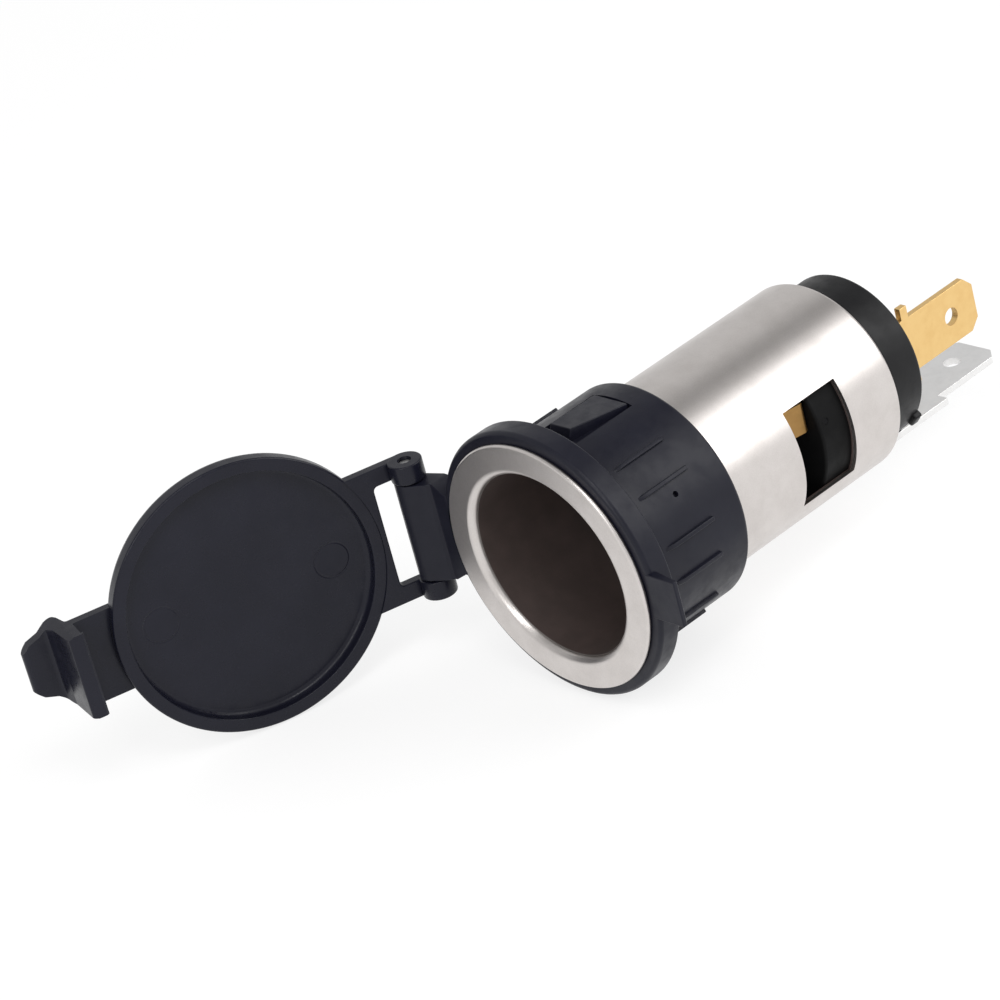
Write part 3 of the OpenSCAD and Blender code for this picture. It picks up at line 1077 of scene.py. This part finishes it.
@dataclass
class Rear(Part):
    """The rear cap and the two blade terminals."""

    cap_r: float = 9.45
    shell_rear: float = 38.7
    cap_rear: float = 43.95
    spigot_r: float = 8.5
    hole_r: float = 1.65
    strip_t: float = 0.8
    flat_z: float = 8.2
    flat_x: Point = (-10.0, 5.2)
    power_x: float = 4.0
    power_w: float = 6.3
    power_shoulder: float = 48.05
    power_tip: float = 58.05
    shoulder_w: float = 9.1
    nub: float = 1.1
    ground_w: float = 7.0
    ground_strip_w: float = 9.8
    ground_z: float = 8.3
    ground_y: float = 37.4
    ground_shoulder: float = 51.05
    ground_tip: float = 61.25
    ring_r: Point = (6.0, 9.1)
    foot_r: float = 3.8
    tip_cut: float = 1.2
    blade_hole_r: float = 1.0
    hole_back: float = 3.9
    lug_r: Point = (8.8, 10.0)
    lug_y: Point = (42.85, 44.0)
    lug_half: float = 0.8
    lug_turn: float = 40.0

    def cap(self) -> Form:
        """The black cap with its flat and its small lug."""
        profile = [
            (self.hole_r, self.shell_rear - 0.5),
            (self.spigot_r, self.shell_rear - 0.5),
            (self.spigot_r, self.shell_rear),
            (self.cap_r, self.shell_rear, 0.12),
            (self.cap_r, self.cap_rear, 0.45),
            (self.hole_r, self.cap_rear),
        ]
        turned = Form.lathe(rounded(profile), 160)
        flat = Form.prism(rectangle(*self.flat_x, 37, 46), -20, -self.flat_z)
        side = rectangle(*self.lug_r, *self.lug_y)
        lug = Form.prism(side, -self.lug_half, self.lug_half, soft=0.25)
        return turned.less(flat).join(lug.turned(self.lug_turn))

    def blade(self, width: float, start: float, tip: float) -> list[Point]:
        """Outline of a blade with a chamfered tip, across and along.

        Args:
            width: Its width.
            start: Where it starts.
            tip: Where it ends.

        Returns:
            The outline's points.
        """
        half, inner, neck = width / 2, width / 2 - self.tip_cut, tip - self.tip_cut
        side = [(half, start), (half, neck), (inner, tip)]
        return side + [(-x, y) for x, y in reversed(side)]

    def locking_hole(self, reach: Point, tip: float) -> Form:
        """What a blade's locking hole takes away.

        Args:
            reach: Where the hole starts and ends along Z.
            tip: Where the blade ends.

        Returns:
            The hole.
        """
        return Form.rod(self.blade_hole_r, *reach, segments=40).put(0, tip - self.hole_back, 0)

    def power(self) -> Form:
        """The brass blade, its shoulders and its foot."""
        half, wide, y = self.power_w / 2, self.shoulder_w / 2, self.power_shoulder
        low, t, front = y - self.nub, self.strip_t, self.cap_rear
        outline = [(-half, front), (half, front), (half, low), (wide, low), (wide, y)]
        outline += self.blade(self.power_w, y, self.power_tip)
        outline += [(-wide, y), (-wide, low), (-half, low)]
        blade = Form.prism(outline, self.power_x, self.power_x + t, soft=0.07)
        blade = blade.less(self.locking_hole((3, 6), self.power_tip)).moved(Along.X.value)
        bend, rear = self.power_x + t / 2, front + t
        plan = [*arc((0, 0), self.foot_r, 57, 303, 40), (bend, -half), (bend, half)]
        foot = Form.prism(plan, front, rear, way=Along.Y, soft=0.06)
        circle = arc((0, 0), self.hole_r, 0, 350, 35)
        bore = Form.prism(circle, front - 1, rear + 1, way=Along.Y)
        return blade.join(foot.less(bore))

    def ground(self) -> Form:
        """The tinned ring, strip and blade."""
        half, y = self.ground_strip_w / 2, self.ground_shoulder
        outline = [(-half, self.ground_y), (half, self.ground_y), (half, y)]
        outline += self.blade(self.ground_w, y, self.ground_tip)
        outline += [(-half, y)]
        strip = Form.prism(outline, -self.ground_z - self.strip_t, -self.ground_z, soft=0.07)
        rear = self.ground_y + self.strip_t
        ring = Form.lathe(rectangle(*self.ring_r, self.ground_y, rear), 96)
        return strip.less(self.locking_hole((-12, -6), self.ground_tip)).join(ring)

    def build(self) -> None:
        """Build and dress the cap and the terminals."""
        self.piece("rear_cap_moulding", self.cap(), CAP_BLACK, ["rear_cap"])
        self.piece("power_blade", self.power(), TERMINAL_BRASS, ["power_terminal"])
        self.piece("ground_blade", self.ground(), TINNED, ["ground_terminal"])


@dataclass
class Lid(Part):
    """The hinged lid, drawn shut and then swung open about the pin."""

    body: Body = Body.LID
    opened: float = 109.0
    hinge: Point = (-19.4, -2.75)
    radius: float = 15.2
    rim_y: float = -3.55
    front_y: float = -5.95
    edge_r: float = 1.8
    recess_r: float = 13.7
    recess_depth: float = 1.3
    fillet: float = 1.1
    knuckle_r: float = 1.85
    knuckle: Point = (5.9, 8.05)
    arm_w: float = 2.0
    arm_t: float = 1.2
    arm_root: float = -12.2
    web_x: float = -15.6
    pin_r: float = 0.75
    latch_half: float = 4.9
    latch_rear: float = -4.6
    latch_t: float = 1.0
    latch_root: float = 13.6
    hook_x: float = 18.52
    hook_t: float = 1.9
    hook_rear: float = -1.73
    nib: float = 0.25
    finger_front: float = -8.35
    finger_t: float = 1.2
    finger_end: float = 23.92
    finger_half: float = 3.1
    mark_places: tuple[Place, Place] = ((9.7, -4.85, 0.5), (-9.6, -4.85, -0.5))
    mark_r: float = 2.0

    def swing(self) -> Matrix:
        """The turn about the hinge pin from shut to the photo's pose."""
        away = Matrix.Translation((*self.hinge, 0))
        return away @ Matrix.Rotation(math.radians(-self.opened), 4, "Z") @ away.inverted()

    def dish(self) -> Form:
        """The round of the lid with its recess."""
        floor = self.rim_y - self.recess_depth
        profile = [
            (0, floor),
            (self.recess_r, floor, self.fillet),
            (self.recess_r, self.rim_y, 0.18),
            (self.radius, self.rim_y, 0.25),
            (self.radius, self.front_y, self.edge_r),
            (0, self.front_y),
        ]
        return Form.lathe(rounded(profile, 8), 192)

    def pin_bore(self) -> Form:
        """What the hinge pin's bore takes away."""
        return Form.rod(self.pin_r, -10, 10).put(*self.hinge, 0)

    def arms(self) -> list[Form]:
        """The two hinge arms with the web that joins them, and their bored knuckles."""
        x, y = self.hinge
        front, out, root = y - self.knuckle_r, self.knuckle[1] - 0.03, self.arm_root
        inner, r = out - self.arm_w, self.radius - 0.2
        upper = [(root, out), (x, out), (x, inner), (self.web_x, inner, 0.5)]
        lower = [(self.web_x, -inner, 0.5), (x, -inner), (x, -out), (root, -out)]
        outline = rounded(upper + lower)
        plate = Form.prism(outline, front, front + self.arm_t, Along.Y, soft=0.14, soft_over=35)
        disc = Form.lathe(rectangle(0, r, front - 1, 0), 192)
        made = [plate.less(disc, self.pin_bore())]
        for side in (1, -1):
            low, high = sorted(side * z for z in self.knuckle)
            knuckle = Form.rod(self.knuckle_r, low, high, soft=0.16).put(x, y, 0)
            made.append(knuckle.less(self.pin_bore()))
        return made

    def latch(self) -> Form:
        """The latch arm, the hook wall and the finger tab."""
        x, out = self.hook_x, self.hook_x + self.hook_t
        rear, front = self.latch_rear, self.latch_rear - self.latch_t
        top, under = self.finger_front + self.finger_t, self.finger_front
        section = [
            (self.latch_root, front),
            (out - 1.4, front, 0.4),
            (out - 1.0, top - 0.1, 0.1),
            (out - 0.6, under, 1.1),
            (self.finger_end, under, 0.55),
            (self.finger_end, top, 0.55),
            (out + 0.5, top, 0.5),
            (out, front, 0.3),
            (out - 0.4, self.hook_rear, 0.25),
            (x, self.hook_rear, 0.05),
            (x - self.nib, self.hook_rear - 0.2),
            (x - self.nib, self.hook_rear - 0.35),
            (x, self.hook_rear - 0.35),
            (x, rear, 0.25),
            (self.latch_root, rear),
        ]
        widths = [
            (out - 1.0, self.latch_half),
            (out + 0.2, self.latch_half - 0.5),
            (out + 1.2, self.finger_half + 0.5),
            (self.finger_end - 0.9, self.finger_half),
            (self.finger_end, self.finger_half - 0.9),
        ]
        made = Form.prism(rounded(section), -self.latch_half, self.latch_half)
        return made.tapered(0, widths, self.latch_half).soften(0.16, 34)

    def build(self) -> None:
        """Build the lid, swing it open and dress it with its pin."""
        x, y = self.hinge
        form = self.dish().join(*self.arms(), self.latch())
        marks = tuple((tuple(self.swing() @ Vector(p)), self.mark_r) for p in self.mark_places)
        finish = MouldedPlastic("lid_plastic", BLUE_BLACK, BLUE_BLACK_LIFTED, 0.22, marks=marks)
        self.piece("lid_moulding", form.moved(self.swing()), finish, ["lid"])
        length = self.knuckle[1] - 0.35
        pin = Form.rod(self.pin_r, -length, length, soft=0.12).put(x, y, 0)
        self.piece("steel_pin", pin, PIN_STEEL, ["hinge_pin"])


@dataclass(frozen=True)
class Lamp:
    """A soft rectangular lamp: its place and sides in millimetres and its power in watts."""

    name: str
    place: Place
    wide: float
    high: float
    power: float

    def hang(self, aim: Place) -> None:
        """Hang the lamp.

        Args:
            aim: The point that it faces, in millimetres.
        """
        data = bpy.data.lights.new(self.name, "AREA")
        data.shape, data.energy = "RECTANGLE", self.power
        data.size, data.size_y = self.wide * MM, self.high * MM
        lamp = placed(self.name, data)
        lamp.location = Vector(self.place) * MM
        lamp.rotation_mode = "QUATERNION"
        lamp.rotation_quaternion = (Vector(aim) * MM - lamp.location).to_track_quat("-Z", "Y")


@dataclass
class Studio:
    """The floor, the room, the lamps and the camera of the photo."""

    floor_z: float = -15.35
    floor_half: float = 3000.0
    floor_round: float = 400.0
    floor_t: float = 4.0
    eye: Place = (317.05, -243.55, 217.08)
    tilt: Place = (61.53, 13.423, 46.062)
    lens: float = 162.0
    sensor: float = 36.0
    aim: Place = (0.0, 10.0, 0.0)
    room: float = 0.72
    strip: float = 0.5
    lamps: tuple[Lamp, ...] = (
        Lamp("key", (300, 300, 260), 360, 360, 0.95),
        Lamp("low_front", (130, -440, 225), 170, 100, 0.34),
        Lamp("mid_front", (175, -300, 350), 150, 100, 0.24),
        Lamp("high_front", (215, -130, 430), 170, 120, 0.34),
    )

    def camera(self) -> None:
        """Set up the camera at the photo's place, with its roll."""
        data = bpy.data.cameras.new("photo_camera")
        data.lens, data.sensor_width = self.lens, self.sensor
        data.clip_start, data.clip_end = 0.01, 20.0
        made = placed("photo_camera", data)
        made.location = Vector(self.eye) * MM
        made.rotation_euler = tuple(math.radians(a) for a in self.tilt)
        bpy.context.scene.camera = made

    def floor(self) -> None:
        """A plain pale floor that shows white and keeps a soft shadow."""
        half = self.floor_half
        corners = [(x, y, self.floor_round) for x, y in rectangle(-half, half, -half, half)]
        form = Form.prism(rounded(corners), -self.floor_t, 0)
        data = form.put(0, 0, self.floor_z).mesh("floor")
        made = placed("floor", data)
        paint = bpy.data.materials.new("floor_paint")
        paint.use_nodes = True
        graph = Graph(paint.node_tree)
        plain = graph.node("ShaderNodeBsdfDiffuse", None, {"Color": (0.8, 0.8, 0.8, 1)})
        pale = graph.node("ShaderNodeBsdfDiffuse", None, {"Color": (0.3, 0.3, 0.3, 1)})
        glow = graph.node("ShaderNodeEmission", None, {"Color": (1, 1, 1, 1), "Strength": 0.75})
        both = graph.node("ShaderNodeAddShader", None, {0: pale.outputs[0], 1: glow.outputs[0]})
        path = graph.node("ShaderNodeLightPath").outputs
        seen = Value(graph, path["Is Camera Ray"]) + Value(graph, path["Is Glossy Ray"])
        seen = seen + Value(graph, path["Is Transmission Ray"])
        inputs = {0: seen, 1: plain.outputs[0], 2: both.outputs[0]}
        mixed = graph.node("ShaderNodeMixShader", None, inputs)
        graph.node("ShaderNodeOutputMaterial", None, {"Surface": mixed.outputs[0]})
        data.materials.append(paint)

    def world(self) -> None:
        """An even room with a narrow darker strip overhead, that shows white behind the object."""
        made = bpy.data.worlds.new("room")
        bpy.context.scene.world = made
        made.use_nodes = True
        graph = Graph(made.node_tree)
        where = graph.node("ShaderNodeTexCoord").outputs["Generated"]
        across, _, up = graph.axes(where)
        strip = across.step(-0.47, -0.12) * across.step(0.26, -0.04) * up.step(0.3, 0.7)
        level = self.room - self.strip * strip
        white = graph.node("ShaderNodeLightPath").outputs["Is Camera Ray"]
        light = graph.node("ShaderNodeBackground", None, {"Color": (1, 1, 1, 1), "Strength": level})
        plain = graph.node("ShaderNodeBackground", None, {"Color": (1, 1, 1, 1), "Strength": 1.0})
        inputs = {0: white, 1: light.outputs[0], 2: plain.outputs[0]}
        mixed = graph.node("ShaderNodeMixShader", None, inputs)
        graph.node("ShaderNodeOutputWorld", None, {"Surface": mixed.outputs[0]})

    def build(self) -> None:
        """Set the stage."""
        self.camera()
        self.floor()
        self.world()
        for lamp in self.lamps:
            lamp.hang(self.aim)
        bpy.context.scene.view_settings.view_transform = "Standard"


def main() -> None:
    """Build every part in order, log each one, and set the stage."""
    logging.basicConfig(level=logging.INFO, format="%(name)s %(message)s")
    for part in (Shell(), Bezel(), Contacts(), Rear(), Lid()):
        part.build()
        log.info("%s is dressed", type(part).__name__)
    Studio().build()


if __name__ == "__main__":
    main()
